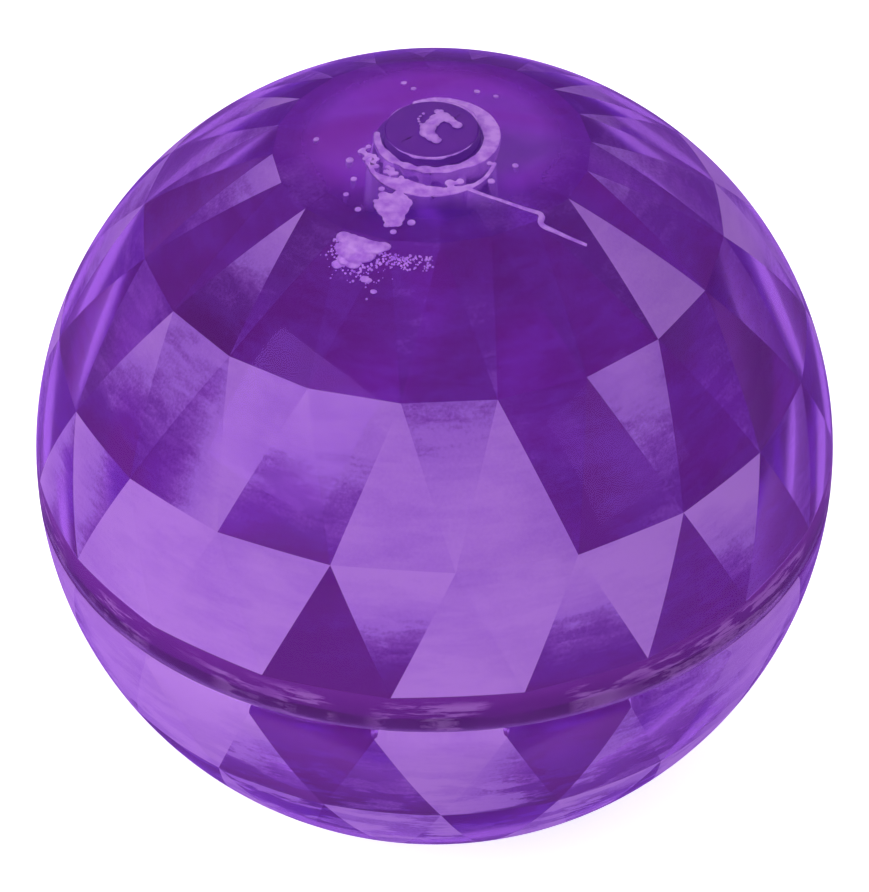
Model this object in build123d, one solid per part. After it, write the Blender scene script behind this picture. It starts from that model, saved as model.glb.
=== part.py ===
from build123d import *
from math import cos, radians, sin, tan
import os

# Hollow high-bounce play ball of clear tinted rubber: two moulded halves welded at the equator, smooth
# outside and faceted like a cut gem inside, with a self-sealing plug glued inside the upper pole.
# Millimetres. The origin is the centre of the ball, +Z runs up through the plug, and -Y is the front.
# Places on the wall are given as a polar angle from the pole and an azimuth, which is 0 at the front
# and grows towards +X.

# Driving dimensions
BALL_DIAMETER = 100.0
CORNER_WALL = 3.0            # thickness at the corners of the facets, where the wall is thinnest
FACETS_ROUND = 20            # corners in each ring
ROW_ANGLE = 22.3             # polar angle from one ring of corners to the next
FACET_ROWS = 3               # rows of alternate triangles between the flat cap and the rim
RIM_ANGLE = 86.0             # polar angle of the last ring, where the plain land begins
UPPER_TURN = 2.85            # azimuth of the first corner in the upper half
LOWER_TURN = 0.5             # and in the lower half, which was welded on a little turned

WELD_FILM = 0.4              # thickness of the weld between the two rims
WELD_GROOVE = 0.15           # the weld stops this short of the outer surface: the parting line
WELD_BEAD_WIDTH = 6.4        # bead squeezed out of the weld onto the land inside
WELD_BEAD_DEPTH = 0.9

PLUG_BOSS_RADIUS = 5.15      # boss of the plug, seated in the wall
PLUG_BOSS_DEPTH = 2.0
PLUG_BODY_RADIUS = 6.2       # body of the plug, below the wall
PLUG_BODY_LENGTH = 2.8
PLUG_EDGE = 0.8
PLUG_CLEARANCE = 0.1         # round the boss

COLLAR_FILM = 0.25           # adhesive between the shoulder of the plug and the wall
COLLAR_WIDTH = 0.95          # adhesive squeezed out round the body
COLLAR_HEIGHT = 1.6
RUN_FORWARD = 3.1            # the ring of adhesive that ran forward under the cap before it set
RUN_WIDTH = 1.0
RUN_HEIGHT = 0.5

GUIDE_RADIUS = 2.3           # pocket above the plug that centres the needle
GUIDE_DEPTH = 2.6
GUIDE_BUBBLE_RADIUS = 1.5    # air trapped in the adhesive that fills it

SMEAR_THICKNESS = 0.35
STRAND_RADIUS = 0.3

# Derived dimensions
BALL_RADIUS = BALL_DIAMETER / 2
CORNER_RADIUS = BALL_RADIUS - CORNER_WALL
FACET_STEP = 360 / FACETS_ROUND
RING_ANGLES = [ROW_ANGLE * (row + 1) for row in range(FACET_ROWS)] + [RIM_ANGLE]
CAP_HEIGHT = CORNER_RADIUS * cos(radians(ROW_ANGLE))
LAND_RADIUS = CORNER_RADIUS * sin(radians(RIM_ANGLE))
LAND_FLAT_RADIUS = LAND_RADIUS * cos(radians(FACET_STEP / 2))
BODY_TOP = CAP_HEIGHT - COLLAR_FILM
BOSS_TOP = CAP_HEIGHT + PLUG_BOSS_DEPTH
OVERRUN = 2.0                # how far a cutting solid runs past the face that it cuts


def on_sphere(radius, polar, azimuth):
    """Point at a distance from the centre of the ball, from its polar angle and azimuth."""
    level = radius * sin(radians(polar))
    return Vector(level * sin(radians(azimuth)), -level * cos(radians(azimuth)), radius * cos(radians(polar)))


def facet_corners(turn):
    """Rings of facet corners, from the cap to the rim. Each ring is half a facet ahead of the last."""
    rings = []
    for row, polar in enumerate(RING_ANGLES):
        azimuths = [turn + FACET_STEP * (index + row / 2) for index in range(FACETS_ROUND)]
        rings.append([on_sphere(CORNER_RADIUS, polar, azimuth) for azimuth in azimuths])
    return rings


def facet_triangles(turn):
    """Corners of every triangle in the rows between the cap and the rim."""
    rings = facet_corners(turn)
    triangles = []
    for upper, lower in zip(rings, rings[1:]):
        for index in range(FACETS_ROUND):
            following = (index + 1) % FACETS_ROUND
            triangles.append((upper[index], upper[following], lower[index]))
            triangles.append((upper[following], lower[index], lower[following]))
    return triangles


def faceted_cavity(turn, scale=1.0):
    """Solid of the hollow in the upper half, run on below the equator so that it cuts the rim cleanly."""
    rings = facet_corners(turn)
    foot = [Vector(corner.X, corner.Y, -OVERRUN) for corner in rings[-1]]
    outlines = [rings[0], foot] + facet_triangles(turn)
    for index in range(FACETS_ROUND):
        following = (index + 1) % FACETS_ROUND
        outlines.append((rings[-1][index], rings[-1][following], foot[following], foot[index]))
    faces = [Face(Wire.make_polygon([corner * scale for corner in outline])) for outline in outlines]
    return Solid(Shell(faces))


def wall_point(polar, azimuth, lift):
    """Point a little inside the faceted wall of the upper half, in the direction given."""
    direction = on_sphere(1, polar, azimuth)
    distance = (CAP_HEIGHT - lift) / direction.Z
    for first, second, third in facet_triangles(UPPER_TURN):
        normal = (second - first).cross(third - first).normalized()
        if normal.dot(first) < 0:
            normal = -normal
        reach = normal.dot(direction)
        if reach > 0:
            distance = min(distance, (normal.dot(first) - lift) / reach)
    return direction * distance


def below(level):
    """Block that holds all of the ball below a level."""
    return Pos(0, 0, level - BALL_DIAMETER) * Box(BALL_DIAMETER, BALL_DIAMETER, BALL_DIAMETER * 2)


def blank_half():
    """Solid half ball, from the face of the rim up."""
    return Sphere(BALL_RADIUS) - below(WELD_FILM / 2)


def bored(radius, floor, ceiling):
    """Upright cylinder on the axis of the ball."""
    return Pos(0, 0, (floor + ceiling) / 2) * Cylinder(radius, ceiling - floor)


def upper_shell():
    """Upper half, with the stepped pocket that takes the plug and guides the needle."""
    plug_pocket = bored(PLUG_BOSS_RADIUS, CAP_HEIGHT - OVERRUN, BOSS_TOP)
    needle_guide = bored(GUIDE_RADIUS, CAP_HEIGHT - OVERRUN, BOSS_TOP + GUIDE_DEPTH)
    return blank_half() - faceted_cavity(UPPER_TURN) - plug_pocket - needle_guide


def lower_shell():
    """Lower half: the same moulding without the pocket, upside down."""
    return mirror(blank_half() - faceted_cavity(LOWER_TURN), about=Plane.XY)


def seam_weld():
    """Thin ring of weld between the rims, with the bead that it squeezes out inside."""
    film = Cylinder(BALL_RADIUS - WELD_GROOVE, WELD_FILM) - Cylinder(LAND_FLAT_RADIUS, WELD_FILM)
    upper_end = (LAND_FLAT_RADIUS, WELD_BEAD_WIDTH / 2)
    crown = (LAND_FLAT_RADIUS - WELD_BEAD_DEPTH, 0)
    lower_end = (LAND_FLAT_RADIUS, -WELD_BEAD_WIDTH / 2)
    outline = Line(lower_end, upper_end) + ThreePointArc(upper_end, crown, lower_end)
    bead = revolve(Plane.XZ * make_face(outline), Axis.Z)
    return film + bead


def valve_plug():
    """Self-sealing plug: a boss seated in the wall and a wider body below it."""
    body = bored(PLUG_BODY_RADIUS, BODY_TOP - PLUG_BODY_LENGTH, BODY_TOP)
    body = fillet(body.edges().sort_by(Axis.Z)[0], PLUG_EDGE)
    return body + bored(PLUG_BOSS_RADIUS - PLUG_CLEARANCE, BODY_TOP - PLUG_EDGE, BOSS_TOP)


def forward_run():
    """Crescent of adhesive that ran forward under the cap, from both sides of the plug."""
    outer_radius = PLUG_BODY_RADIUS + COLLAR_WIDTH
    full_ring = Cylinder(outer_radius, RUN_HEIGHT) - Cylinder(outer_radius - RUN_WIDTH, RUN_HEIGHT)
    under_cap = CAP_HEIGHT - RUN_HEIGHT / 2
    inside_collar = Cylinder(PLUG_BODY_RADIUS + COLLAR_WIDTH / 2, 2 * RUN_HEIGHT)
    return Pos(0, -RUN_FORWARD, under_cap) * full_ring - Pos(0, 0, under_cap) * inside_collar


def plug_adhesive():
    """Adhesive under the wall round the plug: a film on its shoulder, a fillet round its body and the crescent."""
    outer_radius = PLUG_BODY_RADIUS + COLLAR_WIDTH
    corners = [
        (PLUG_BOSS_RADIUS, CAP_HEIGHT),
        (outer_radius, CAP_HEIGHT),
        (outer_radius, BODY_TOP),
        (PLUG_BODY_RADIUS, CAP_HEIGHT - COLLAR_HEIGHT),
        (PLUG_BODY_RADIUS, BODY_TOP),
        (PLUG_BOSS_RADIUS, BODY_TOP),
    ]
    return revolve(Plane.XZ * make_face(Polyline(corners, close=True)), Axis.Z) + forward_run()


def needle_guide_adhesive():
    """Adhesive drawn up into the needle guide, with an air bubble open at its front right."""
    fill = bored(GUIDE_RADIUS, BOSS_TOP, BOSS_TOP + GUIDE_DEPTH)
    bubble = Pos(GUIDE_RADIUS / 2, -GUIDE_RADIUS / 2, BOSS_TOP + GUIDE_DEPTH / 2) * Sphere(GUIDE_BUBBLE_RADIUS)
    return fill - bubble


def dome(radius, height):
    """Drop hanging from the flat cap on the axis of the ball: part of a sphere, cut off by the cap."""
    sphere_radius = (radius * radius + height * height) / (2 * height)
    return Pos(0, 0, CAP_HEIGHT - height + sphere_radius) * Sphere(sphere_radius) & below(CAP_HEIGHT)


def drop_on_cap(distance, azimuth, radius, height):
    """Drop at a distance from the axis of the ball."""
    return Rot(0, 0, azimuth) * Pos(0, -distance, 0) * dome(radius, height)


def glue_drip():
    """Large drop of adhesive on the cap, at the front left of the plug."""
    return drop_on_cap(distance=13.2, azimuth=-21.6, radius=2.2, height=1.1)


def glue_smear():
    """Adhesive wiped thin over the first row of facets, at the front left."""
    skin = faceted_cavity(UPPER_TURN) - faceted_cavity(UPPER_TURN, scale=1 - SMEAR_THICKNESS / CORNER_RADIUS)
    wiped = Pos(on_sphere(CORNER_RADIUS, 24.5, -24)) * Sphere(3.0)
    wiped += Pos(on_sphere(CORNER_RADIUS, 24.0, -17)) * Sphere(2.4)
    wiped += Pos(on_sphere(CORNER_RADIUS, 23.8, -9)) * Sphere(1.8)
    return skin & wiped & below(CAP_HEIGHT - SMEAR_THICKNESS)


def glue_spatter():
    """Fine drops of adhesive thrown over the cap: distance from the axis, azimuth and radius of each."""
    places = [
        (12.7, -93, 0.45),
        (9.6, -68, 0.5),
        (10.9, -51, 0.4),
        (13.2, -45, 0.35),
        (10.5, -167, 0.7),
        (10.0, 150, 0.4),
        (10.6, 138, 0.35),
        (10.2, 62, 0.4),
        (9.9, 40, 0.45),
        (10.3, -32, 0.4),
        (14.4, -34, 0.4),
        (14.6, -9, 0.5),
        (16.4, -15, 0.4),
    ]
    return Compound([drop_on_cap(distance, azimuth, radius, radius) for distance, azimuth, radius in places])


def glue_strand():
    """Hair of adhesive drawn from the crescent over the cap and down two facets."""
    places = [(13.6, 30.6), (15.2, 34), (18.5, 38.2), (20.9, 40.3), (22.5, 38.6), (25.0, 41.5), (28.9, 49)]
    points = [wall_point(polar, azimuth, STRAND_RADIUS) for polar, azimuth in places]
    runs = [second - first for first, second in zip(points, points[1:])]
    bends = []
    for before, after in zip(runs, runs[1:]):
        half_turn = radians(before.get_angle(after)) / 2
        bends.append(0.45 * min(before.length, after.length) / tan(half_turn))
    path = FilletPolyline(*points, radius=bends)
    return sweep(Plane(path @ 0, z_dir=path % 0) * Circle(STRAND_RADIUS), path)


NODES = {
    "upper_shell": upper_shell,
    "lower_shell": lower_shell,
    "seam_weld": seam_weld,
    "valve_plug": valve_plug,
    "plug_adhesive": plug_adhesive,
    "needle_guide_adhesive": needle_guide_adhesive,
    "glue_drip": glue_drip,
    "glue_smear": glue_smear,
    "glue_spatter": glue_spatter,
    "glue_strand": glue_strand,
}

os.makedirs("parts", exist_ok=True)
for name, make in NODES.items():
    export_step(make(), "parts/" + name + ".step")
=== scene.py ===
import math
import random

import bmesh
import bpy
from mathutils import Matrix, Vector, noise


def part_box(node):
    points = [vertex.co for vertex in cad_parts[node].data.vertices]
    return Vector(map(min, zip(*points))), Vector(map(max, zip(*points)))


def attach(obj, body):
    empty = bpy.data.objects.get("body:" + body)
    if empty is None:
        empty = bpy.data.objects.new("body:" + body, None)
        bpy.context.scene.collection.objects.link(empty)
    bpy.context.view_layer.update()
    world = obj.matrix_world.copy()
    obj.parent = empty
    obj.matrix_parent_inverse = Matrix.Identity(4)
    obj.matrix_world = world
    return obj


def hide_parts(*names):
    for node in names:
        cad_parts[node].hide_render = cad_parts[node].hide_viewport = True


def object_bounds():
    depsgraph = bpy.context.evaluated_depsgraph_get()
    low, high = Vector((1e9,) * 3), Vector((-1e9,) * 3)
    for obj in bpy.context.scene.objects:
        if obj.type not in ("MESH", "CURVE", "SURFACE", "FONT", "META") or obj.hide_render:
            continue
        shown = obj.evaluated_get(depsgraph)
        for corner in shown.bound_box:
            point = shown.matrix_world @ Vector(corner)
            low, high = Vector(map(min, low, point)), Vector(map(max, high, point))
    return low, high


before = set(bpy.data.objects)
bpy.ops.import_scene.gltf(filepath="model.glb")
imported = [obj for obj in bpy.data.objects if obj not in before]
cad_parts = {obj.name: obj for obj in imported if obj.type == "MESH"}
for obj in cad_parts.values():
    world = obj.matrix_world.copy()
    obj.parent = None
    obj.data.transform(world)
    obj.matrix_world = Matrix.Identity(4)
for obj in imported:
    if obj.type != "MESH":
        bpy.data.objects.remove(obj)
cad_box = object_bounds()

# Hollow high-bounce ball of clear tinted rubber. The outside is smooth and the inside of the wall is moulded in
# facets. Metres, in the frame of the CAD model: origin at the centre of the ball, +Z through the plug, front at -Y.
# Places on the wall are a polar angle from the upper pole and an azimuth from the front, growing towards +X.

MM = 0.001
FACETS_ROUND = 20
FACET_STEP = 2 * math.pi / FACETS_ROUND
RING_ANGLES = [math.radians(angle) for angle in (22.3, 44.6, 66.9, 86.0)]
UPPER_TURN = math.radians(2.85)
LOWER_TURN = math.radians(0.5)
CORNER_WALL = 3.0 * MM
ROUND = 128                  # corners in the loops of a turned piece
EDGE_BEVEL = 0.22 * MM       # rounding of the facet edges
BOND = 0.04 * MM             # how far glued pieces sink into the wall, so that no air shows between them

BALL_RADIUS = cad_box[1][2]
CORNER_RADIUS = BALL_RADIUS - CORNER_WALL
CAP_HEIGHT = CORNER_RADIUS * math.cos(RING_ANGLES[0])
LAND_RADIUS = CORNER_RADIUS * math.sin(RING_ANGLES[-1])
LAND_FLAT_RADIUS = LAND_RADIUS * math.cos(FACET_STEP / 2)
RIM_GAP = 0.02 * MM          # half the gap between the two rims, which the weld closes
PLUG_LOW, PLUG_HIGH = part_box("valve_plug")
GLUE_LOW, GLUE_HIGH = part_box("plug_adhesive")
PLUG_LENGTH = CAP_HEIGHT - PLUG_LOW.z
PLUG_RADIUS = PLUG_HIGH.x
RUN_RADIUS = GLUE_HIGH.x     # the crescent of adhesive under the cap: its radius and how far its centre lies forward
RUN_FORWARD = -GLUE_LOW.y - RUN_RADIUS
BOSS_RADIUS = 5.15 * MM      # the plug's upper end, sunk into the wall
BEAD_HALF = 3.2 * MM         # half the height of the weld's bead
BEAD_DEPTH = 0.9 * MM
WELD_GROOVE = 0.15 * MM      # how far the weld stays below the outside
HAIR = 0.0005 * MM           # loops in one plane are set this far apart, because coplanar loops bridge twisted
WINDOW_RADIUS = 14 * MM    # round the plug the mould is polished, so the plug can be seen


# ---- mesh tools ----

def clear_selection():
    if bpy.context.object and bpy.context.object.mode != "OBJECT":
        bpy.ops.object.mode_set(mode="OBJECT")
    bpy.ops.object.select_all(action="DESELECT")


def make_active(piece):
    clear_selection()
    piece.select_set(True)
    bpy.context.view_layer.objects.active = piece


def ring(vertices, radius, height, turn=0.0):
    return {"vertices": vertices, "radius": radius, "height": height, "turn": turn}


def add_ring(loop):
    bpy.ops.mesh.primitive_circle_add(
        vertices=loop["vertices"],
        radius=loop["radius"],
        location=(0, 0, loop["height"]),
        rotation=(0, 0, loop["turn"]),
    )


def bridged(name, loops, fill_first=False, fill_last=False, closed=False):
    """A surface bridged from ring to ring, as a turned or moulded wall is drawn."""
    loops = [dict(loop, height=loop["height"] + index * HAIR) for index, loop in enumerate(loops)]
    clear_selection()
    add_ring(loops[0])
    piece = bpy.context.object
    piece.name = name
    spans = [(0, loops[0]["vertices"])]
    bpy.ops.object.mode_set(mode="EDIT")
    bpy.ops.mesh.select_mode(type="VERT")
    if fill_first:
        bpy.ops.mesh.select_all(action="SELECT")
        bpy.ops.mesh.edge_face_add()
    for loop in loops[1:]:
        add_ring(loop)
        start = spans[-1][1]
        spans.append((start, start + loop["vertices"]))
    pairs = list(zip(spans, spans[1:]))
    if closed:
        pairs.append((spans[-1], spans[0]))
    for first, second in pairs:
        select_edges_of(piece, (first, second))
        bpy.ops.mesh.bridge_edge_loops()
    if fill_last:
        select_edges_of(piece, (spans[-1],))
        bpy.ops.mesh.edge_face_add()
    outward(piece)
    return piece


def select_edges_of(piece, spans):
    """In edit mode, select whole rings by the span of their vertices."""
    bpy.ops.mesh.select_all(action="DESELECT")
    bpy.ops.mesh.select_mode(type="EDGE")
    mesh = bmesh.from_edit_mesh(piece.data)
    mesh.verts.ensure_lookup_table()
    for edge in mesh.edges:
        ends = [vertex.index for vertex in edge.verts]
        edge.select = any(all(low <= end < high for end in ends) for low, high in spans)
    mesh.select_flush_mode()
    bmesh.update_edit_mesh(piece.data)


def outward(piece):
    """Recalculate the normals, and leave edit mode."""
    bpy.ops.mesh.select_mode(type="VERT")
    bpy.ops.mesh.select_all(action="SELECT")
    bpy.ops.mesh.normals_make_consistent(inside=False)
    bpy.ops.object.mode_set(mode="OBJECT")


def joined(name, pieces):
    clear_selection()
    for piece in pieces:
        piece.select_set(True)
    bpy.context.view_layer.objects.active = pieces[0]
    bpy.ops.object.join()
    pieces[0].name = name
    return pieces[0]


def apply_modifier(piece, kind, **settings):
    make_active(piece)
    modifier = piece.modifiers.new(kind, kind)
    for key, value in settings.items():
        setattr(modifier, key, value)
    bpy.ops.object.modifier_apply(modifier=modifier.name)


def settle(piece):
    """Put a finished piece's place into its mesh."""
    make_active(piece)
    bpy.ops.object.transform_apply(location=True, rotation=True, scale=True)


# ---- places on the wall ----

def on_sphere(radius, polar, azimuth):
    level = radius * math.sin(polar)
    return Vector((level * math.sin(azimuth), -level * math.cos(azimuth), radius * math.cos(polar)))


def facet_planes(turn):
    """Corner and outward normal of every facet in the upper half's rows, and of the cap."""
    planes = [(Vector((0, 0, CAP_HEIGHT)), Vector((0, 0, 1)))]
    for row in range(len(RING_ANGLES) - 1):
        upper, lower = RING_ANGLES[row], RING_ANGLES[row + 1]
        for index in range(FACETS_ROUND):
            start = turn + FACET_STEP * (index + row / 2)
            above = [on_sphere(CORNER_RADIUS, upper, start + FACET_STEP * step) for step in (0, 1)]
            below = [on_sphere(CORNER_RADIUS, lower, start + FACET_STEP * (step + 0.5)) for step in (0, 1)]
            for corners in ((above[0], above[1], below[0]), (above[1], below[0], below[1])):
                normal = (corners[1] - corners[0]).cross(corners[2] - corners[0]).normalized()
                if normal.dot(corners[0]) < 0:
                    normal = -normal
                planes.append((corners[0], normal))
    return planes


UPPER_PLANES = facet_planes(UPPER_TURN)


def wall_point(polar, azimuth, lift):
    """Point a little inside the faceted wall of the upper half, in the direction given in degrees."""
    direction = on_sphere(1, math.radians(polar), math.radians(azimuth))
    distances = []
    for corner, normal in UPPER_PLANES:
        reach = normal.dot(direction)
        if reach > 0:
            distances.append((normal.dot(corner) - lift) / reach)
    return direction * min(distances)


def cap_point(distance, azimuth, drop):
    """Point under the flat cap: distance from the axis and drop below the cap in mm, azimuth in degrees."""
    turn = math.radians(azimuth)
    return Vector((distance * MM * math.sin(turn), -distance * MM * math.cos(turn), CAP_HEIGHT - drop * MM))


# ---- the two halves ----

# How milky the spark-eroded facets are, which paints their light and shade: milky facets are painted light, clear ones
# painted dark.
# One letter a facet, going round from the back by the left side, the front and the right side; each row has its facets
# that point down and those that point up.
PAINTED_FACET_LIGHT = {
    "d": (0.0, 0.0, 0.0),        # clear and painted dark: level, lean of the painted light to the right, lean upwards
    "m": (0.36, 0.0, 0.12),      # half milky, painted half light
    "L": (0.88, 0.0, 0.0),       # milky, painted light
    "t": (0.5, 0.0, 0.5),        # milky and painted light towards the top, fading down
    "w": (0.32, 0.0, 0.3),       # a little milk and painted light at the top
    "b": (0.7, 0.0, -0.3),       # milky and painted light towards the bottom
    "l": (0.5, -0.5, 0.1),       # milky and painted light towards the left
    "r": (0.5, 0.5, 0.1),        # milky and painted light towards the right
}
UPPER_PAINTED_LIGHT = [
    ("ddddd" "wddddddddd" "ddddd", "mmmtm" "ddtdddddLw" "mmtmm"),
    ("dtLtm" "ddwLwbdwdd" "tLdtd", "dLrdt" "dtrtLLdddd" "ltLdt"),
    ("dlLmt" "dlLLtLLtdd" "rLmLd", "dtLLd" "mlLLdLtddd" "tLLdm"),
]
LOWER_PAINTED_LIGHT = [
    ("dmdLd" "dLdmLdmtdL" "dmLdm", "LdmdL" "dmLdtLdmLd" "mLdmd"),
    ("dLmdt" "LdmLdtLdmd" "Lmdtd", "mdLtd" "tLdmLdtLdm" "dtLdm"),
    ("mLdtL" "mrLtdlmrtm" "LdmtL", "tLmLd" "mLLLdLdmLm" "LdLmt"),
]
LIGHT_LEVEL = 0.6
EDGE_AREA = 4 * MM * MM      # smaller faces are rounded edges, painted lighter or darker as painted highlights and painted shade
EDGE_PAINTED_LIGHT = 0.4
PAINTED_CREASE_SHADE = (3.5, 11.3)         # between these azimuths the rounded edges of the lowest facets of the upper half are painted dark, a painted shade line


def facet_code(row, from_pole, azimuth, above):
    """Letter of the facet that a direction falls in."""
    turn = math.degrees(UPPER_TURN if above else LOWER_TURN)
    step = math.degrees(FACET_STEP)
    across = ((azimuth - turn) / step - (row - 1) / 2) % 1
    points_up = abs(across - 0.5) > 0.25
    pattern = UPPER_PAINTED_LIGHT if above else LOWER_PAINTED_LIGHT
    place = int((azimuth + 180) / step) % FACETS_ROUND
    return pattern[row - 1][points_up][place], points_up


def paint_facet_light(piece):
    """Write how milky each facet is, corner by corner, which paints its light and shade: 0 clear and painted dark, 1
    milky and painted light.
    """
    mesh = piece.data
    tone = mesh.attributes.new("facet_painted_light", "FLOAT", "CORNER")
    values = [0.0] * len(mesh.loops)
    degrees = [math.degrees(angle) for angle in RING_ANGLES]
    for face in mesh.polygons:
        centre = face.center
        if centre.length > BALL_RADIUS - 1.5 * MM:
            continue
        polar = math.degrees(centre.angle(Vector((0, 0, 1))))
        azimuth = math.degrees(math.atan2(centre.x, -centre.y))
        from_pole = min(polar, 180 - polar)
        row = sum(from_pole > angle for angle in degrees)
        jitter = noise.noise(centre.normalized() * 9.7)
        level, aside, upwards = 0.0, 0.0, 0.0
        dark = 0.1 + 0.12 * jitter
        if 0 < row < len(degrees):
            code, points_up = facet_code(row, from_pole, azimuth, centre.z > 0)
            level, aside, upwards = PAINTED_FACET_LIGHT[code]
            dark += 0.0 if points_up else 0.12
            level += 0.26 * jitter if level > LIGHT_LEVEL else 0.0
            # rounded edges get a painted highlight or painted shade, chosen by the noise, and a painted dark line in
            # the crease span
            if face.area < EDGE_AREA:
                crease_shade_painted = row == 3 and centre.z > 0 and PAINTED_CREASE_SHADE[0] < azimuth < PAINTED_CREASE_SHADE[1]
                level += EDGE_PAINTED_LIGHT if jitter > -0.05 else -EDGE_PAINTED_LIGHT
                level = -EDGE_PAINTED_LIGHT if crease_shade_painted else level
        elif row == 0:
            # painted light on the cap, lifting the shade that the plug casts on it
            dark += 0.12
        places = [mesh.vertices[mesh.loops[loop].vertex_index].co for loop in face.loop_indices]
        top = max(place.z for place in places)
        low = min(place.z for place in places)
        sideways = Vector((math.cos(math.radians(azimuth)), math.sin(math.radians(azimuth)), 0))
        slope = noise.noise_vector(centre.normalized() * 5.3)
        for loop, place in zip(face.loop_indices, places):
            # the painted light leans across each facet, to the side and upwards
            right = sideways.dot(place - centre) / (7 * MM)
            up = (2 * place.z - top - low) / max(top - low, MM)
            lean = (aside + 0.26 * slope.x) * right + (upwards + 0.16 * slope.y) * up
            values[loop] = dark + (0.95 - dark) * level + lean
    tone.data.foreach_set("value", values)


def sink_pocket(lining):
    """Pocket in the flat cap for the plug's upper end."""
    make_active(lining)
    bpy.ops.object.mode_set(mode="EDIT")
    bpy.ops.mesh.select_mode(type="FACE")
    bpy.ops.mesh.select_all(action="DESELECT")
    mesh = bmesh.from_edit_mesh(lining.data)
    for face in mesh.faces:
        face.select = len(face.verts) == FACETS_ROUND
    bmesh.update_edit_mesh(lining.data)
    cap_radius = CORNER_RADIUS * math.sin(RING_ANGLES[0])
    bpy.ops.mesh.inset(thickness=(cap_radius - BOSS_RADIUS) * math.cos(FACET_STEP / 2))
    bpy.ops.mesh.extrude_region_move(TRANSFORM_OT_translate={"value": (0, 0, PLUG_HIGH.z - CAP_HEIGHT)})
    bpy.ops.object.mode_set(mode="OBJECT")


def half_wall(name, turn, has_pocket):
    """Closed wall of one half, pole up: turned outside, moulded facets inside, plain land and rim."""
    clear_selection()
    bpy.ops.mesh.primitive_uv_sphere_add(segments=192, ring_count=96, radius=BALL_RADIUS)
    skin = bpy.context.object
    bpy.ops.object.mode_set(mode="EDIT")
    bpy.ops.mesh.select_all(action="SELECT")
    bpy.ops.mesh.bisect(plane_co=(0, 0, RIM_GAP), plane_no=(0, 0, 1), clear_inner=True)
    bpy.ops.object.mode_set(mode="OBJECT")
    for face in skin.data.polygons:
        face.use_smooth = True
    rings = []
    for row, polar in enumerate(RING_ANGLES):
        radius = CORNER_RADIUS * math.sin(polar)
        height = CORNER_RADIUS * math.cos(polar)
        rings.append(ring(FACETS_ROUND, radius, height, turn + FACET_STEP * row / 2))
    last = rings[-1]
    rings.append(ring(FACETS_ROUND, last["radius"], RIM_GAP, last["turn"]))
    lining = bridged("lining", rings, fill_first=True)
    if has_pocket:
        sink_pocket(lining)
    bpy.ops.object.mode_set(mode="EDIT")
    bpy.ops.mesh.select_all(action="SELECT")
    bpy.ops.mesh.quads_convert_to_tris(quad_method="SHORTEST_DIAGONAL", ngon_method="BEAUTY")
    bpy.ops.mesh.select_mode(type="EDGE")
    bpy.ops.mesh.select_all(action="DESELECT")
    mesh = bmesh.from_edit_mesh(lining.data)
    for edge in mesh.edges:
        middle = (edge.verts[0].co + edge.verts[1].co) / 2
        on_rows = MM < middle.z < CAP_HEIGHT - MM / 2
        first_ring = abs(middle.z - CAP_HEIGHT) < MM / 2 and middle.length > 0.98 * CORNER_RADIUS
        edge.select = (on_rows or first_ring) and len(edge.link_faces) == 2 and edge.calc_face_angle() > 0.05
    bmesh.update_edit_mesh(lining.data)
    bpy.ops.mesh.bevel(offset=EDGE_BEVEL, segments=1, affect="EDGES")
    bpy.ops.object.mode_set(mode="OBJECT")
    half = joined(name, [skin, lining])
    bpy.ops.object.mode_set(mode="EDIT")
    bpy.ops.mesh.select_mode(type="EDGE")
    mesh = bmesh.from_edit_mesh(half.data)
    for edge in mesh.edges:
        edge.select = edge.is_boundary
    bmesh.update_edit_mesh(half.data)
    bpy.ops.mesh.bridge_edge_loops()
    outward(half)
    return half


def upper_half():
    """Upper half with a sharp edge at its rim; the rim of the lower half stays shaded as if rounded."""
    half = half_wall("upper_half_wall", UPPER_TURN, has_pocket=True)
    for face in half.data.polygons:
        if abs(face.center.z) < 2 * RIM_GAP:
            face.use_smooth = False
    paint_facet_light(half)
    return half


def lower_half():
    half = half_wall("lower_half_wall", LOWER_TURN, has_pocket=False)
    bpy.ops.object.mode_set(mode="EDIT")
    bpy.ops.mesh.select_all(action="SELECT")
    bpy.ops.transform.resize(value=(1, 1, -1), center_override=(0, 0, 0))
    outward(half)
    paint_facet_light(half)
    return half


def weld_ring():
    """The film between the rims and the rounded bead inside, as one closed ring."""
    film = RIM_GAP / 2
    profile = [(BALL_RADIUS - WELD_GROOVE, film), (LAND_FLAT_RADIUS, film)]
    for step in range(13):
        angle = math.pi / 2 - math.pi * step / 12
        profile.append((LAND_FLAT_RADIUS - BEAD_DEPTH * math.cos(angle), BEAD_HALF * math.sin(angle)))
    profile += [(LAND_FLAT_RADIUS, -film), (BALL_RADIUS - WELD_GROOVE, -film)]
    return bridged("weld_ring", [ring(ROUND, radius, height) for radius, height in profile], closed=True)


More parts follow.
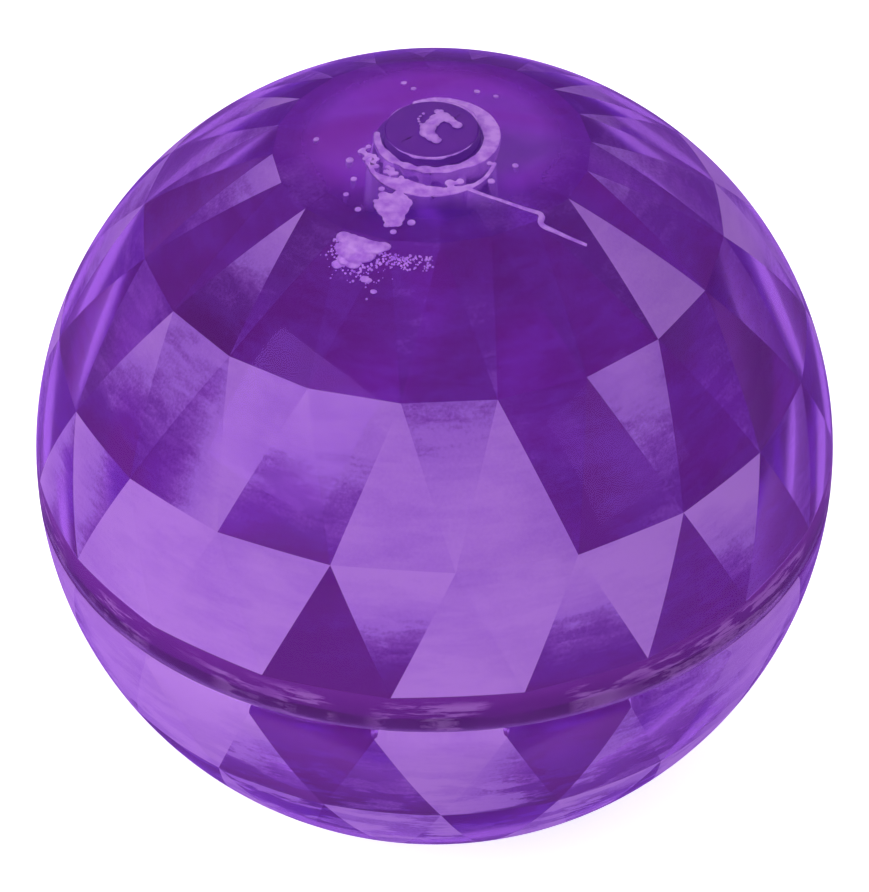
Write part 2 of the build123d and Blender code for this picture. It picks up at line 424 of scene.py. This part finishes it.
def plug():
    """Moulded plug: boss, shoulder, straight body and a rounded foot with the needle's dimple."""
    boss = BOSS_RADIUS + BOND
    top = PLUG_HIGH.z + BOND
    body = PLUG_RADIUS
    shoulder = CAP_HEIGHT - 0.25 * MM
    foot = PLUG_LOW.z
    edge = 0.8 * MM
    loops = [
        ring(ROUND, 0.35 * boss, top),
        ring(ROUND, boss - 0.15 * MM, top),
        ring(ROUND, boss, top - 0.15 * MM),
        ring(ROUND, boss, shoulder),
        ring(ROUND, body - 0.15 * MM, shoulder),
        ring(ROUND, body, shoulder - 0.15 * MM),
        ring(ROUND, body, foot + edge),
        ring(ROUND, body - 0.3 * edge, foot + 0.3 * edge),
        ring(ROUND, body - edge, foot),
        ring(ROUND, 1.6 * MM, foot),
        ring(ROUND, 0.4 * MM, foot + 0.9 * MM),
    ]
    piece = bridged("plug", loops, fill_first=True, fill_last=True)
    make_active(piece)
    bpy.ops.object.shade_smooth_by_angle(angle=math.radians(35))
    return piece


# ---- adhesive ----

FLECKS = 420                 # specks of adhesive below the smear
RUN_SHARE = 0.2              # how much of the plug's side stays bare: higher is more


def blob(place, size):
    bpy.ops.object.select_all(action="DESELECT")
    bpy.ops.mesh.primitive_uv_sphere_add(segments=24, ring_count=12, location=place)
    piece = bpy.context.object
    piece.scale = size
    settle(piece)
    return piece


def melted(name, pieces, voxel, roughen, grain):
    """Blobs flowed into one body of adhesive, with an uneven skin."""
    piece = joined(name, pieces)
    make_active(piece)
    piece.data.remesh_voxel_size = voxel
    bpy.ops.object.voxel_remesh()
    apply_modifier(piece, "SMOOTH", factor=0.5, iterations=6)
    cloud = bpy.data.textures.new(name + "_skin", "CLOUDS")
    cloud.noise_scale = grain
    apply_modifier(piece, "DISPLACE", texture=cloud, strength=roughen, mid_level=0.5, texture_coords="LOCAL")
    for face in piece.data.polygons:
        face.use_smooth = True
    return piece


def unevenness(place, row):
    """Slow noise from -1 to 1 along a line of blobs."""
    return noise.noise(Vector((place, row, 0.5)))


def trimmed_above(piece, height):
    """Cut a piece off flat where it meets the wall."""
    make_active(piece)
    bpy.ops.object.mode_set(mode="EDIT")
    bpy.ops.mesh.select_all(action="SELECT")
    bpy.ops.mesh.bisect(plane_co=(0, 0, height), plane_no=(0, 0, 1), clear_outer=True, use_fill=True)
    outward(piece)
    make_active(piece)
    bpy.ops.object.shade_smooth_by_angle(angle=math.radians(22))
    return piece


def collar():
    """Adhesive round the plug: a fillet under the wall, runs down the front of the body and a bead at the foot."""
    pieces = []
    body = PLUG_RADIUS / MM
    foot_drop = PLUG_LENGTH / MM - 1.1
    steps = 100
    for index in range(steps):
        azimuth = 360 * index / steps
        front = max(math.cos(math.radians(azimuth + 25)), 0)
        size = (0.28 + 0.14 * unevenness(index * 0.21, 7.7) + 0.4 * front) * MM
        pieces.append(blob(cap_point(body + 0.05, azimuth, foot_drop), (size, size, size)))
        right = max(math.sin(math.radians(azimuth - 30)), 0)
        left = max(math.cos(math.radians(azimuth + 35)), 0)
        size = (0.48 + 0.12 * unevenness(index * 0.17, 3.1) + 0.55 * right) * MM
        size *= 1 + 0.7 * left * unevenness(index * 0.4, 5.5)
        bare_back = 195 < azimuth < 262
        if not bare_back:
            pieces.append(blob(cap_point(body - 0.5 * left + 0.35 * right, azimuth, 0.1), (size, size, size)))
    for row in range(5):
        drop = 0.4 + 0.27 * row
        for index in range(64):
            azimuth = -110 + 220 * index / 64
            milk = unevenness(index * 0.16 + 0.3 * row, 11.3 + 0.62 * row)
            milk += 0.35 * unevenness(index * 0.6, 2.0 + row) + 0.3 * math.cos(math.radians(azimuth + 60))
            milk -= 0.25 * abs(row - 3)
            milk += 0.3 if row < 2 else 0.0
            if milk > RUN_SHARE:
                size = (0.3 + 0.25 * milk) * MM
                pieces.append(blob(cap_point(body, azimuth, drop), (size, size, size)))
    pieces += forward_run()
    piece = melted("plug_collar", pieces, 0.13 * MM, 0.12 * MM, 0.9 * MM)
    piece = trimmed_above(piece, CAP_HEIGHT + BOND)
    return joined("plug_collar", [piece, boss_glint_arcs()])


def forward_run():
    """Lumps of the crescent that ran forward under the cap: thick at the front left, a thin line at the right."""
    pieces = []
    steps = 90
    for index in range(steps + 1):
        azimuth = -80 + 158 * index / steps
        thick = math.exp(-((azimuth + 27) / 24) ** 2)
        middle = math.exp(-((azimuth - 12) / 24) ** 2)
        size = 0.24 + 0.85 * thick + 0.42 * middle + 0.1 * unevenness(index * 0.3, 21.4)
        turn = math.radians(azimuth)
        reach = RUN_RADIUS - size * MM
        place = Vector((reach * math.sin(turn), -RUN_FORWARD - reach * math.cos(turn), CAP_HEIGHT))
        pieces.append(blob(place, (size * MM, size * MM, min(size, 0.45) * MM)))
    ends = ((6.2, -4.6, 0.36), (-6.3, -4.2, 0.3), (1.9, -8.0, 0.6), (3.0, -7.7, 0.45))
    for right, back, size in ends:
        pieces.append(blob(Vector((right * MM, back * MM, CAP_HEIGHT)), (size * MM, size * MM, 0.4 * MM)))
    for step in range(48):
        azimuth = -78 + 1.25 * step
        distance = 7.0 + 0.35 * (step % 4)
        if unevenness(step * 0.7, 31.0 + 0.9 * (step % 4)) > 0.02:
            pieces.append(blob(cap_point(distance, azimuth, 0), (0.32 * MM, 0.32 * MM, 0.3 * MM)))
    return pieces


def boss_glint_arcs():
    """Thin arcs of light adhesive round the boss's top edge, in its pocket, put there as a painted highlight of that
    edge: start and end in degrees, thickness in mm.
    """
    pieces = []
    for start, end, thickness in ((-62, 58, 0.22), (-150, -112, 0.12), (105, 172, 0.34)):
        steps = (end - start) // 3
        for index in range(steps + 1):
            azimuth = start + (end - start) * index / steps
            taper = math.sin(math.pi * (0.06 + 0.88 * index / steps))
            size = thickness * (taper + 0.3 * unevenness(index * 0.3, start)) * MM
            size = max(size, 0.06 * MM)
            place = cap_point((BOSS_RADIUS + 0.6 * size) / MM, azimuth, 0)
            place.z = PLUG_HIGH.z - size
            pieces.append(blob(place, (size, size, size)))
    piece = joined("boss_glint_arcs", pieces)
    make_active(piece)
    piece.data.remesh_voxel_size = 0.07 * MM
    bpy.ops.object.voxel_remesh()
    apply_modifier(piece, "SMOOTH", factor=0.5, iterations=3)
    for face in piece.data.polygons:
        face.use_smooth = True
    return piece


def guide_fill():
    """Adhesive that crept up the needle guide, curled round an air bubble: places and sizes in mm."""
    lumps = [
        (0.8, 1.9, 0.85),
        (0.1, 1.5, 0.9),
        (-0.4, 0.7, 0.85),
        (-0.9, -0.2, 0.95),
        (-1.0, -1.1, 0.9),
        (-0.5, -1.9, 0.75),
        (0.0, -2.5, 0.6),
        (1.4, 1.4, 0.65),
        (1.9, 0.8, 0.5),
        (2.3, 0.3, 0.62),
        (0.1, 2.9, 0.4),
        (0.6, 3.0, 0.3),
        (-1.4, 2.5, 0.22),
        (-1.75, 2.0, 0.2),
        (-1.95, 1.5, 0.2),
        (-1.9, 1.0, 0.2),
        (-1.7, 0.5, 0.24),
        (-1.4, 0.1, 0.3),
    ]
    height = PLUG_HIGH.z + 0.35 * MM
    pieces = []
    for right, back, size in lumps:
        place = Vector(((right + 0.5) * MM, back * MM, height))
        pieces.append(blob(place, (size * MM, size * MM, 0.45 * size * MM)))
    return melted("guide_fill", pieces, 0.08 * MM, 0.08 * MM, 0.7 * MM)


def drip():
    """Large drop on the cap, run together with the small ones round it."""
    centre = cap_point(12.8, -19.5, 0)
    lumps = [
        (0.0, 0.2, 1.85),
        (0.5, 1.3, 1.3),
        (-0.5, 1.4, 1.1),
        (0.1, -1.4, 1.25),
        (-1.3, 0.6, 0.8),
        (1.4, 0.9, 0.8),
        (-1.0, 2.3, 0.6),
        (0.6, 2.4, 0.6),
        (0.5, -2.4, 0.55),
        (-0.7, -2.6, 0.4),
        (-1.9, 1.4, 0.3),
    ]
    pieces = []
    for right, back, size in lumps:
        place = centre + Vector((right, back, 0)) * MM
        pieces.append(blob(place, (size * MM, size * MM, 0.5 * size * MM)))
    piece = melted("drip", pieces, 0.12 * MM, 0.1 * MM, 1.0 * MM)
    return trimmed_above(piece, CAP_HEIGHT + BOND)


def spatter():
    """Fine drops thrown over the cap: distance from the axis, azimuth and radius of each, in mm and degrees."""
    places = [
        (12.7, -93, 0.4),
        (9.6, -68, 0.5),
        (10.9, -51, 0.4),
        (13.2, -45, 0.35),
        (11.0, -164, 0.4),
        (9.4, -168, 0.35),
        (10.0, 150, 0.4),
        (10.6, 138, 0.35),
        (10.2, 62, 0.4),
        (9.9, 40, 0.45),
        (10.3, -32, 0.4),
        (14.4, -34, 0.4),
        (14.6, -9, 0.5),
        (16.4, -15, 0.4),
    ]
    pieces = []
    for distance, azimuth, radius in places:
        size = radius * MM * 0.9
        pieces.append(blob(cap_point(distance, azimuth, 0), (size, size, size)))
    piece = joined("spatter", pieces)
    for face in piece.data.polygons:
        face.use_smooth = True
    return trimmed_above(piece, CAP_HEIGHT + BOND)


def smear():
    """Adhesive wiped over the facets under the cap: cut off straight at the edge of the cap, feathered out below."""
    pieces = []
    strokes = [
        (23.3, -31, 1.0),
        (23.4, -28, 1.2),
        (23.5, -25, 1.3),
        (23.6, -22, 1.3),
        (23.5, -19, 1.1),
        (23.2, -16.5, 0.8),
        (24.6, -28, 1.4),
        (24.9, -25, 1.5),
        (24.8, -22, 1.3),
        (26.0, -27, 1.1),
        (26.4, -24.5, 0.9),
        (27.2, -29, 0.7),
        (28.2, -19.5, 0.55),
        (28.3, -18.5, 0.5),
        (29.7, -16.2, 0.4),
    ]
    for polar, azimuth, size in strokes:
        place = wall_point(polar, azimuth, 0.0)
        pieces.append(blob(place, (size * MM, size * MM, 0.4 * size * MM)))
    piece = melted("smear", pieces, 0.12 * MM, 0.12 * MM, 0.8 * MM)
    fleck_draw = random.Random(5)
    flecks = [piece]
    for _ in range(FLECKS):
        polar = 24.0 + abs(fleck_draw.gauss(0, 1.9))
        azimuth = fleck_draw.uniform(-34, 0) if polar < 26.2 else fleck_draw.gauss(-23, 5)
        size = fleck_draw.uniform(0.05, 0.16) * MM
        flecks.append(fleck(wall_point(polar, azimuth, 0.0), size))
    return joined("smear", flecks)


def fleck(place, size):
    bpy.ops.object.select_all(action="DESELECT")
    bpy.ops.mesh.primitive_ico_sphere_add(subdivisions=2, radius=size, location=place)
    piece = bpy.context.object
    settle(piece)
    for face in piece.data.polygons:
        face.use_smooth = True
    return piece


def strand():
    """Hair of adhesive drawn out over the cap and down the facets, thinning to its end."""
    route = [
        (12.4, 23.0, 0.36),
        (13.6, 26.5, 0.34),
        (15.0, 30.5, 0.3),
        (16.8, 35.0, 0.3),
        (19.0, 38.8, 0.34),
        (20.7, 41.5, 0.38),
        (21.6, 43.0, 0.42),
        (22.2, 42.6, 0.44),
        (22.6, 40.2, 0.46),
        (23.4, 40.2, 0.44),
        (24.6, 42.6, 0.36),
        (26.6, 45.6, 0.3),
        (28.7, 48.8, 0.26),
    ]
    curve = bpy.data.curves.new("strand", "CURVE")
    curve.dimensions = "3D"
    curve.bevel_depth = MM
    curve.bevel_resolution = 4
    curve.resolution_u = 8
    curve.use_fill_caps = True
    line = curve.splines.new("NURBS")
    line.points.add(len(route) - 1)
    for point, (polar, azimuth, size) in zip(line.points, route):
        place = wall_point(polar, azimuth, 0.6 * size * MM)
        point.co = (*place, 1)
        point.radius = size
    line.order_u = 3
    line.use_endpoint_u = True
    piece = bpy.data.objects.new("strand", curve)
    bpy.context.scene.collection.objects.link(piece)
    make_active(piece)
    bpy.ops.object.convert(target="MESH")
    piece = bpy.context.object
    for face in piece.data.polygons:
        face.use_smooth = True
    return piece


# ---- materials ----

def linear(code):
    """sRGB hex to linear RGBA."""
    values = [int(code[index:index + 2], 16) / 255 for index in (1, 3, 5)]
    values = [value / 12.92 if value <= 0.04045 else ((value + 0.055) / 1.055) ** 2.4 for value in values]
    return (*values, 1.0)


def material(name):
    made = bpy.data.materials.new(name)
    made.use_nodes = True
    made.node_tree.nodes.clear()
    return made


def add_node(tree, kind, settings=None, inputs=None):
    """A node with its settings, values and links."""
    node = tree.nodes.new(kind)
    for key, value in (settings or {}).items():
        setattr(node, key, value)
    for key, value in (inputs or {}).items():
        if isinstance(value, bpy.types.NodeSocket):
            tree.links.new(value, node.inputs[key])
        else:
            node.inputs[key].default_value = value
    return node


def tone_ramp(tree, value, stops):
    ramp = add_node(tree, "ShaderNodeValToRGB", inputs={"Fac": value})
    elements = ramp.color_ramp.elements
    while len(elements) < len(stops):
        elements.new(0.5)
    for element, (place, code) in zip(elements, stops):
        element.position = place
        element.color = linear(code)
    return ramp.outputs["Color"]


def clear_rubber():
    """Clear tinted TPR, injection moulded: polished outside, spark-eroded satin on the facets inside."""
    made = material("tpr_clear_tinted_moulded")
    tree = made.node_tree
    coords = add_node(tree, "ShaderNodeTexCoord").outputs["Object"]
    radius = add_node(tree, "ShaderNodeVectorMath", {"operation": "LENGTH"}, {0: coords}).outputs["Value"]
    outside = add_node(
        tree, "ShaderNodeMath", {"operation": "GREATER_THAN"}, {0: radius, 1: BALL_RADIUS - 0.8 * MM}
    ).outputs["Value"]
    inside = add_node(
        tree, "ShaderNodeMath", {"operation": "SUBTRACT"}, {0: 1.0, 1: outside}
    ).outputs["Value"]
    height = add_node(tree, "ShaderNodeSeparateXYZ", inputs={"Vector": coords}).outputs["Z"]
    level = add_node(tree, "ShaderNodeMath", {"operation": "ABSOLUTE"}, {0: height}).outputs["Value"]
    behind_weld = add_node(
        tree, "ShaderNodeMath", {"operation": "LESS_THAN"}, {0: level, 1: BEAD_HALF}
    ).outputs["Value"]
    on_land = add_node(
        tree, "ShaderNodeMath", {"operation": "MULTIPLY"}, {0: behind_weld, 1: inside}
    ).outputs["Value"]
    on_rim = add_node(
        tree, "ShaderNodeMath", {"operation": "LESS_THAN"}, {0: level, 1: 1.4 * RIM_GAP}
    ).outputs["Value"]
    bonded = add_node(
        tree, "ShaderNodeMath", {"operation": "MAXIMUM"}, {0: on_land, 1: on_rim}
    ).outputs["Value"]
    # the facets' painted light and shade, read from the mesh, sets how milky and how light the lining is
    glow = add_node(tree, "ShaderNodeAttribute", {"attribute_name": "facet_painted_light"}).outputs["Fac"]
    streaked_reflection = add_node(
        tree, "ShaderNodeMapping", inputs={"Vector": coords, "Scale": (1.0, 1.0, 7.0)}
    ).outputs["Vector"]
    patterns = [
        (coords, 8 * MM, 2.0, 0.42),        # slow clouds in the texture
        (streaked_reflection, 4 * MM, 4.0, 0.22),       # horizontal streaks, painted streaked reflections
        (coords, 0.35 * MM, 1.0, 0.2),      # spark-eroded grain, drawn about five times too coarse so it shows
    ]
    haze_and_painted_light = glow
    for vector, size, detail, weight in patterns:
        pattern = add_node(
            tree, "ShaderNodeTexNoise", inputs={"Vector": vector, "Scale": 1 / size, "Detail": detail}
        ).outputs["Fac"]
        centred = add_node(tree, "ShaderNodeMath", {"operation": "SUBTRACT"}, {0: pattern, 1: 0.5}).outputs["Value"]
        haze_and_painted_light = add_node(
            tree, "ShaderNodeMath", {"operation": "MULTIPLY_ADD"}, {0: centred, 1: weight, 2: haze_and_painted_light}
        ).outputs["Value"]
    # painted streaks of light and shade standing in for the streaked refractions near the rim, stronger low on the ball
    stretched = add_node(
        tree, "ShaderNodeMapping", inputs={"Vector": coords, "Scale": (1.0, 1.0, 3.5)}
    ).outputs["Vector"]
    painted_refraction_streaks = add_node(
        tree, "ShaderNodeTexNoise", inputs={"Vector": stretched, "Scale": 1 / (8 * MM), "Detail": 5.0, "Roughness": 0.6}
    ).outputs["Fac"]
    painted_streaks = add_node(
        tree,
        "ShaderNodeMapRange",
        inputs={"Value": painted_refraction_streaks, "From Min": 0.46, "From Max": 0.54, "To Min": -0.3, "To Max": 0.26},
    ).outputs["Result"]
    low_down = add_node(
        tree,
        "ShaderNodeMapRange",
        inputs={"Value": height, "From Min": -26 * MM, "From Max": -6 * MM, "To Min": 1.0, "To Max": 0.15},
    ).outputs["Result"]
    haze_and_painted_light = add_node(
        tree, "ShaderNodeMath", {"operation": "MULTIPLY_ADD"}, {0: painted_streaks, 1: low_down, 2: haze_and_painted_light}
    ).outputs["Value"]
    # colours from the painted dark facets to the painted light ones; milky sets how much of the painted light shows as
    # diffuse
    inner_colour = tone_ramp(
        tree,
        haze_and_painted_light,
        [
            (0.0, "#9638a8"),
            (0.22, "#a04ac6"),
            (0.4, "#a65ccc"),
            (0.58, "#bc84e0"),
            (0.75, "#ca94e8"),
            (1.0, "#d8a6ee"),
        ],
    )
    milky = add_node(
        tree,
        "ShaderNodeMapRange",
        inputs={"Value": haze_and_painted_light, "From Min": 0.25, "From Max": 0.6, "To Min": 0.45, "To Max": 0.92},
    ).outputs["Result"]
    flat = add_node(tree, "ShaderNodeVectorMath", {"operation": "MULTIPLY"}, {0: coords, 1: (1, 1, 0)}).outputs[0]
    from_axis = add_node(tree, "ShaderNodeVectorMath", {"operation": "LENGTH"}, {0: flat}).outputs["Value"]
    near_plug = add_node(
        tree,
        "ShaderNodeMapRange",
        inputs={
            "Value": from_axis,
            "From Min": WINDOW_RADIUS - 2 * MM,
            "From Max": WINDOW_RADIUS + 2 * MM,
            "To Min": 1.0,
            "To Max": 0.0,
        },
    ).outputs["Result"]
    on_cap = add_node(
        tree, "ShaderNodeMath", {"operation": "GREATER_THAN"}, {0: height, 1: CAP_HEIGHT / 2}
    ).outputs["Value"]
    window = add_node(
        tree, "ShaderNodeMath", {"operation": "MULTIPLY"}, {0: near_plug, 1: on_cap}
    ).outputs["Value"]
    unclouded = add_node(
        tree, "ShaderNodeMath", {"operation": "MULTIPLY_ADD"}, {0: window, 1: -0.6, 2: 1.0}
    ).outputs["Value"]
    milky = add_node(
        tree, "ShaderNodeMath", {"operation": "MULTIPLY"}, {0: milky, 1: unclouded}
    ).outputs["Value"]
    see_through = add_node(
        tree, "ShaderNodeMix", {"data_type": "RGBA"}, {0: window, 6: inner_colour, 7: linear("#e6d8f4")}
    ).outputs[2]
    satin = add_node(
        tree, "ShaderNodeBsdfRefraction", inputs={"Color": see_through, "Roughness": 0.1, "IOR": 1.49}
    ).outputs["BSDF"]
    mirrored = add_node(
        tree, "ShaderNodeBsdfGlossy", inputs={"Color": linear("#a870dc"), "Roughness": 0.12}
    ).outputs["BSDF"]
    bounce = add_node(tree, "ShaderNodeFresnel", inputs={"IOR": 1.49}).outputs["Fac"]
    glassy = add_node(tree, "ShaderNodeMixShader", inputs={0: bounce, 1: satin, 2: mirrored}).outputs["Shader"]
    powder = add_node(
        tree, "ShaderNodeBsdfDiffuse", inputs={"Color": inner_colour, "Roughness": 0.5}
    ).outputs["BSDF"]
    lining = add_node(tree, "ShaderNodeMixShader", inputs={0: milky, 1: glassy, 2: powder}).outputs["Shader"]
    clear = add_node(
        tree, "ShaderNodeBsdfRefraction", inputs={"Color": linear("#f3ecfb"), "Roughness": 0.02, "IOR": 1.49}
    ).outputs["BSDF"]
    gloss = add_node(
        tree, "ShaderNodeBsdfGlossy", inputs={"Color": linear("#9a66d2"), "Roughness": 0.05}
    ).outputs["BSDF"]
    edge = add_node(tree, "ShaderNodeFresnel", inputs={"IOR": 1.25}).outputs["Fac"]
    sheen = add_node(
        tree, "ShaderNodeMath", {"operation": "MULTIPLY_ADD"}, {0: edge, 1: 0.3, 2: 0.02}
    ).outputs["Value"]
    skin = add_node(tree, "ShaderNodeMixShader", inputs={0: sheen, 1: clear, 2: gloss}).outputs["Shader"]
    trapped = add_node(
        tree,
        "ShaderNodeMapRange",
        inputs={"Value": bounce, "From Min": 0.8, "From Max": 1.0, "To Min": 0.0, "To Max": 1.0},
    ).outputs["Result"]
    clear_of_seam = add_node(
        tree, "ShaderNodeMath", {"operation": "GREATER_THAN"}, {0: level, 1: 2 * MM}
    ).outputs["Value"]
    trapped = add_node(
        tree, "ShaderNodeMath", {"operation": "MULTIPLY"}, {0: trapped, 1: clear_of_seam}
    ).outputs["Value"]
    inner_mirror = add_node(
        tree, "ShaderNodeBsdfGlossy", inputs={"Color": linear("#d4b4f2"), "Roughness": 0.03}
    ).outputs["BSDF"]
    skin = add_node(tree, "ShaderNodeMixShader", inputs={0: trapped, 1: skin, 2: inner_mirror}).outputs["Shader"]
    wall = add_node(tree, "ShaderNodeMixShader", inputs={0: outside, 1: lining, 2: skin}).outputs["Shader"]
    open_face = add_node(tree, "ShaderNodeBsdfTransparent").outputs["BSDF"]
    surface = add_node(tree, "ShaderNodeMixShader", inputs={0: bonded, 1: wall, 2: open_face}).outputs["Shader"]
    add_node(tree, "ShaderNodeOutputMaterial", inputs={"Surface": surface})
    return made


def welded_rubber():
    """The same rubber fused at the weld: redder and darker, with streaks of trapped bubbles along the seam."""
    made = material("tpr_weld_bubbled")
    tree = made.node_tree
    coords = add_node(tree, "ShaderNodeTexCoord").outputs["Object"]
    along = add_node(
        tree, "ShaderNodeMapping", inputs={"Vector": coords, "Scale": (1.0, 1.0, 6.0)}
    ).outputs["Vector"]
    patches = add_node(
        tree, "ShaderNodeTexNoise", inputs={"Vector": coords, "Scale": 1 / (14 * MM), "Detail": 1.0}
    ).outputs["Fac"]
    streaks = add_node(
        tree, "ShaderNodeTexNoise", inputs={"Vector": along, "Scale": 1 / (5 * MM), "Detail": 5.0, "Roughness": 0.62}
    ).outputs["Fac"]
    height = add_node(tree, "ShaderNodeSeparateXYZ", inputs={"Vector": coords}).outputs["Z"]
    off_middle = add_node(
        tree, "ShaderNodeMath", {"operation": "SUBTRACT"}, {0: height, 1: BEAD_HALF / 6}
    ).outputs["Value"]
    level = add_node(tree, "ShaderNodeMath", {"operation": "ABSOLUTE"}, {0: off_middle}).outputs["Value"]
    dotted = None
    for value, low, high, start, end in (
        (patches, 0.46, 0.54, 0.0, 1.0),
        (streaks, 0.49, 0.57, 0.0, 1.0),
        (level, 1.1 * MM, 2.1 * MM, 1.0, 0.0),
    ):
        share = add_node(
            tree,
            "ShaderNodeMapRange",
            inputs={"Value": value, "From Min": low, "From Max": high, "To Min": start, "To Max": end},
        ).outputs["Result"]
        if dotted:
            share = add_node(tree, "ShaderNodeMath", {"operation": "MULTIPLY"}, {0: dotted, 1: share}).outputs["Value"]
        dotted = share
    colour = tone_ramp(tree, dotted, [(0.0, "#7a2a94"), (0.5, "#a05cb8"), (1.0, "#b478c8")])
    rubber = add_node(
        tree,
        "ShaderNodeBsdfPrincipled",
        inputs={"Base Color": colour, "Roughness": 0.4, "IOR": 1.49, "Specular IOR Level": 0.1},
    ).outputs["BSDF"]
    clear = add_node(tree, "ShaderNodeBsdfTransparent").outputs["BSDF"]
    from_seam = add_node(tree, "ShaderNodeMath", {"operation": "ABSOLUTE"}, {0: height}).outputs["Value"]
    film = add_node(
        tree, "ShaderNodeMath", {"operation": "LESS_THAN"}, {0: from_seam, 1: RIM_GAP}
    ).outputs["Value"]
    surface = add_node(tree, "ShaderNodeMixShader", inputs={0: film, 1: rubber, 2: clear}).outputs["Shader"]
    add_node(tree, "ShaderNodeOutputMaterial", inputs={"Surface": surface})
    return made


def plug_rubber():
    """Soft plug rubber, moulded: satin, slightly see-through, with faint flow marks."""
    made = material("plug_rubber_moulded")
    tree = made.node_tree
    coords = add_node(tree, "ShaderNodeTexCoord").outputs["Object"]
    flow = add_node(
        tree, "ShaderNodeTexNoise", inputs={"Vector": coords, "Scale": 1 / (3 * MM), "Detail": 3.0}
    ).outputs["Fac"]
    colour = tone_ramp(tree, flow, [(0.3, "#7a36ac"), (0.7, "#863eb4")])
    rubber = add_node(
        tree,
        "ShaderNodeBsdfPrincipled",
        inputs={
            "Base Color": colour,
            "Roughness": 0.35,
            "IOR": 1.5,
            "Specular IOR Level": 0.2,
        },
    ).outputs["BSDF"]
    add_node(tree, "ShaderNodeOutputMaterial", inputs={"Surface": rubber})
    return made


def rubber_cement():
    """Cured rubber cement: milky lilac with a wet skin. Its glow stands for the light that the wall leads into it."""
    made = material("rubber_cement_cured")
    tree = made.node_tree
    coords = add_node(tree, "ShaderNodeTexCoord").outputs["Object"]
    milk = add_node(
        tree, "ShaderNodeTexNoise", inputs={"Vector": coords, "Scale": 1 / (1.2 * MM), "Detail": 4.0}
    ).outputs["Fac"]
    colour = tone_ramp(tree, milk, [(0.35, "#b878dc"), (0.6, "#e0b0f0")])
    cement = add_node(
        tree,
        "ShaderNodeBsdfPrincipled",
        inputs={
            "Base Color": colour,
            "Roughness": 0.3,
            "IOR": 1.47,
            "Specular IOR Level": 0.3,
            "Emission Color": linear("#b070dc"),
            "Emission Strength": 0.22,
        },
    ).outputs["BSDF"]
    add_node(tree, "ShaderNodeOutputMaterial", inputs={"Surface": cement})
    return made


def stage_acrylic():
    """Opal acrylic table top lit from below: matt white, hardly shaded."""
    made = material("acrylic_opal_backlit")
    tree = made.node_tree
    coords = add_node(tree, "ShaderNodeTexCoord").outputs["Object"]
    cloud = add_node(
        tree, "ShaderNodeTexNoise", inputs={"Vector": coords, "Scale": 1 / (40 * MM), "Detail": 2.0}
    ).outputs["Fac"]
    colour = tone_ramp(tree, cloud, [(0.0, "#f4f3f6"), (1.0, "#f8f8fa")])
    acrylic = add_node(
        tree,
        "ShaderNodeBsdfPrincipled",
        inputs={
            "Base Color": colour,
            "Roughness": 0.9,
            "Specular IOR Level": 0.1,
            "Emission Color": linear("#fdfcff"),
            "Emission Strength": 0.45,
        },
    ).outputs["BSDF"]
    add_node(tree, "ShaderNodeOutputMaterial", inputs={"Surface": acrylic})
    return made


# ---- the object ----

def finish(piece, node, finish_material):
    piece.data.materials.clear()
    piece.data.materials.append(finish_material)
    settle(piece)
    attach(piece, "root")
    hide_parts(node)


def build_ball():
    shell = clear_rubber()
    cement = rubber_cement()
    finish(upper_half(), "upper_shell", shell)
    finish(lower_half(), "lower_shell", shell)
    finish(weld_ring(), "seam_weld", welded_rubber())
    finish(plug(), "valve_plug", plug_rubber())
    finish(collar(), "plug_adhesive", cement)
    finish(guide_fill(), "needle_guide_adhesive", cement)
    finish(drip(), "glue_drip", cement)
    finish(smear(), "glue_smear", cement)
    finish(spatter(), "glue_spatter", cement)
    finish(strand(), "glue_strand", cement)


# ---- stage, light and camera ----

def build_floor():
    clear_selection()
    bpy.ops.mesh.primitive_circle_add(vertices=96, radius=3.0, location=(0, 0, -BALL_RADIUS), fill_type="NGON")
    floor = bpy.context.object
    floor.name = "floor"
    settle(floor)
    floor.data.materials.append(stage_acrylic())


def softbox(name, azimuth, elevation, distance, size, power):
    """Square light aimed at the ball."""
    place = on_sphere(distance, math.radians(90 - elevation), math.radians(azimuth))
    lamp = bpy.data.lights.new(name, "AREA")
    lamp.shape = "SQUARE"
    lamp.size = size
    lamp.energy = power
    holder = bpy.data.objects.new(name, lamp)
    holder.matrix_world = Matrix.Translation(place) @ place.to_track_quat("Z", "Y").to_matrix().to_4x4()
    bpy.context.scene.collection.objects.link(holder)


def build_light():
    world = bpy.data.worlds.new("studio")
    world.use_nodes = True
    world.node_tree.nodes["Background"].inputs["Color"].default_value = (1, 1, 1, 1)
    world.node_tree.nodes["Background"].inputs["Strength"].default_value = 1.0
    bpy.context.scene.world = world
    softbox("key", -50, 35, 1.2, 0.8, 9.0)
    softbox("fill", 60, 25, 1.4, 0.8, 4.0)
    bpy.context.scene.view_settings.view_transform = "Standard"


def build_camera():
    """Camera in front of the ball at 40 degrees, about a third of a metre away."""
    elevation = math.radians(40)
    distance = 6.6 * BALL_RADIUS
    silhouette = 398.6                      # radius of the ball in the picture
    picture_height = 892
    focal = silhouette * math.sqrt((distance / BALL_RADIUS) ** 2 - 1)
    lens = bpy.data.cameras.new("camera")
    lens.sensor_width = 36
    lens.lens = focal / picture_height * lens.sensor_width
    holder = bpy.data.objects.new("camera", lens)
    place = on_sphere(distance, math.pi / 2 - elevation, 0)
    tilt = Matrix.Rotation(math.radians(-0.5), 4, "Z")
    holder.matrix_world = Matrix.Translation(place) @ place.to_track_quat("Z", "Y").to_matrix().to_4x4() @ tilt
    bpy.context.scene.collection.objects.link(holder)
    bpy.context.scene.camera = holder


build_floor()
build_light()
build_camera()
build_ball()
